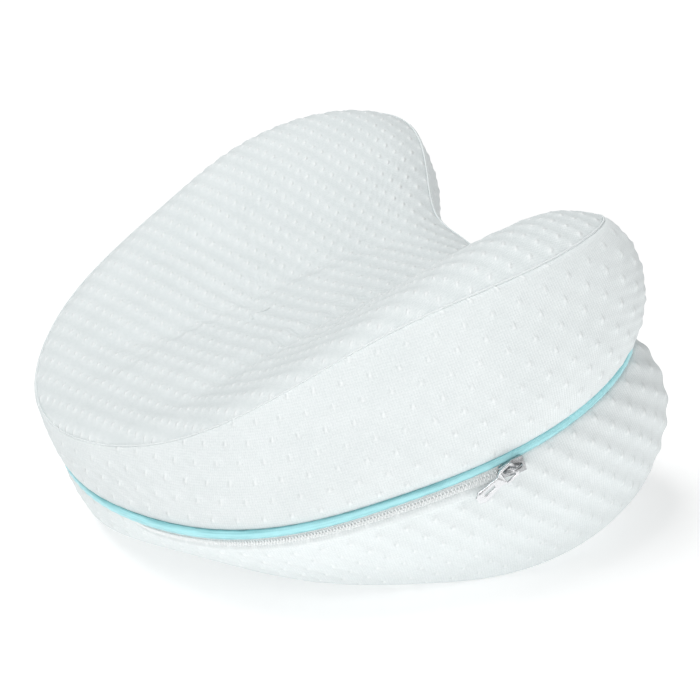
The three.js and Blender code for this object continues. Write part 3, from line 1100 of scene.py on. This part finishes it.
def zipTapeCloth():
    finish = zipFinish
    material, tree, shader = newMaterial("zipTapeCloth", finish["tapeLight"], finish["tapeRough"])
    columns, rows = finish["tapeThreads"]
    threads = placeGroup(tree, fineKnit, weaveCoordinates(tree), Columns=columns, Rows=rows)
    shade = shadeBetween(tree, threads.outputs["Loops"], finish["tapeDark"], finish["tapeLight"])
    tree.links.new(shade, shader.inputs["Base Color"])
    tree.links.new(bumped(tree, threads.outputs["Loops"], finish["tapeDeep"]), shader.inputs["Normal"])
    return material


def nylonCoil():
    finish = zipFinish
    material, tree, shader = newMaterial("nylonCoil", finish["coilLight"], finish["coilRough"])
    grain = objectNoise(tree, *finish["coilGrain"])
    shade = shadeBetween(tree, grain, finish["coilDark"], finish["coilLight"])
    tree.links.new(shade, shader.inputs["Base Color"])
    tree.links.new(bumped(tree, grain, finish["coilDeep"]), shader.inputs["Normal"])
    return material


def platedMetal(name, dark, light):
    least, added = zipFinish["metalRough"]
    material, tree, shader = newMaterial(name, light, least)
    shader.inputs["Metallic"].default_value = 1
    scratches = objectNoise(tree, *zipFinish["scratches"])
    tree.links.new(mathNode(tree, "ADD", least, scaled(tree, scratches, added)), shader.inputs["Roughness"])
    tree.links.new(shadeBetween(tree, scratches, dark, light), shader.inputs["Base Color"])
    tree.links.new(bumped(tree, scratches, zipFinish["scratchDeep"]), shader.inputs["Normal"])
    return material


bandCloth = quiltedCloth("bandCloth", ribShade=0.03, shadowShade=0.4, stitchShine=0.45)
panelCloth = quiltedCloth("panelCloth", ribShade=0.26, shadowShade=0, stitchShine=0.55)
# the slider's copy of the plated metal is darker than the pull's
darkSliderMetal = platedMetal("darkSliderMetal", dark=(0.3, 0.31, 0.32), light=(0.6, 0.61, 0.62))
brightMetal = platedMetal("brightMetal", dark=(0.66, 0.67, 0.69), light=(0.86, 0.87, 0.88))
for piece, node, slot, material in [
    (body, "pillow_body", "band_cloth", bandCloth),
    (weltRoll, "pillow_body", "band_cloth", bandCloth),
    (threads[0], "pillow_body", "band_cloth", bandCloth),
    (threads[1], "pillow_body", "band_cloth", bandCloth),
    (topPanel, "top_panel", "panel_cloth", panelCloth),
    (bottomPanel, "bottom_panel", "panel_cloth", panelCloth),
    (waistCord, "waist_piping", "piping", satinPiping()),
    (tape, "zip_chain", "zip_coil", zipTapeCloth()),
    (coil, "zip_chain", "zip_coil", nylonCoil()),
    (sliderBody, "zip_slider", "zip_metal", darkSliderMetal),
    (pullTab, "zip_pull", "zip_metal", brightMetal),
]:
    piece.data.materials.append(material)
    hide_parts(node)
    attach(piece, "root")
print("knee pillow: finishes on")

# Camera, floor and lights

camera = {
    "azimuth": 67.983,
    "elevation": 26.266,
    "roll": -6.155,
    "distance": 0.6036,
    "target": (-0.0614, 0.0413, 0.0246),
    "focalPixels": 1226.7,  # of a picture so many pixels wide
    "pictureWide": 700,
    "sensorWide": 36,
}


def wayTo(azimuth, elevation):  # in degrees, from the pillow
    a, e = radians(azimuth), radians(elevation)
    return Vector((sin(a) * cos(e), -cos(a) * cos(e), sin(e)))


def photoCamera():
    back = wayTo(camera["azimuth"], camera["elevation"])
    data = bpy.data.cameras.new("photoCamera")
    data.sensor_width = camera["sensorWide"]
    data.lens = camera["focalPixels"] / camera["pictureWide"] * camera["sensorWide"]
    data.clip_start = 0.01
    shot = bpy.data.objects.new("photoCamera", data)
    bpy.context.collection.objects.link(shot)
    turn = back.to_track_quat("Z", "Y").to_matrix().to_4x4()
    roll = Matrix.Rotation(radians(camera["roll"]), 4, "Z")
    place = Vector(camera["target"]) + back * camera["distance"]
    shot.matrix_world = Matrix.Translation(place) @ turn @ roll
    bpy.context.scene.camera = shot


studio = {
    "world": 0.33,
    "floorHalf": 4,
    "paper": (0.9, 0.9, 0.9),
    "paperRough": 0.95,
    "aim": (0, 0, 0.06),  # of every light
    "glow": 0.7,  # of the floor's painted glow, where it is furthest from the pillow
    "glowNear": 0.45,  # share of that beside the pillow
    "glowReach": (0.35, 1.3),  # metres from the middle over which it grows
    "key": (66, 20, 1.3, 0.7, 4.1),  # azimuth, elevation, distance, size and power
    "left": (-30, 75, 1.3, 0.9, 10.2),
    "right": (110, 20, 1.3, 0.7, 1.2),
}


def softBox(name):
    azimuth, elevation, distance, size, power = studio[name]
    way = wayTo(azimuth, elevation)
    data = bpy.data.lights.new(name + "Box", "AREA")
    data.shape = "DISK"
    data.size = size
    data.energy = power
    lamp = bpy.data.objects.new(name + "Box", data)
    bpy.context.collection.objects.link(lamp)
    turn = way.to_track_quat("Z", "Y").to_matrix().to_4x4()
    lamp.matrix_world = Matrix.Translation(Vector(studio["aim"]) + way * distance) @ turn


def paleFloor():
    bm = bmesh.new()
    bmesh.ops.create_grid(bm, x_segments=1, y_segments=1, size=studio["floorHalf"])
    sweep = newMesh("studioFloor", bm, smooth=False)
    material, tree, shader = newMaterial("glowingPalePaper", studio["paper"], studio["paperRough"])
    # the floor glows as painted light: full far from the pillow, dimmer beside it
    coordinates = tree.nodes.new("ShaderNodeTexCoord")
    away = tree.nodes.new("ShaderNodeVectorMath")
    away.operation = "LENGTH"
    tree.links.new(coordinates.outputs["Object"], away.inputs[0])
    near, far = studio["glowReach"]
    grown = mathNode(tree, "DIVIDE", mathNode(tree, "SUBTRACT", away.outputs["Value"], near), far - near)
    dim = (studio["glowNear"],) * 3
    glow = shadeBetween(tree, clampedShare(tree, grown), dim, (1, 1, 1))
    tree.links.new(glow, shader.inputs["Emission Color"])
    shader.inputs["Emission Strength"].default_value = studio["glow"]
    sweep.data.materials.append(material)


photoCamera()
paleFloor()
for name in ("key", "left", "right"):
    softBox(name)
world = bpy.data.worlds.new("studio")
world.use_nodes = True
sky = world.node_tree.nodes["Background"]
sky.inputs["Color"].default_value = (1, 1, 1, 1)
sky.inputs["Strength"].default_value = studio["world"]
bpy.context.scene.world = world
bpy.context.scene.view_settings.view_transform = "Standard"
print("knee pillow: studio set")
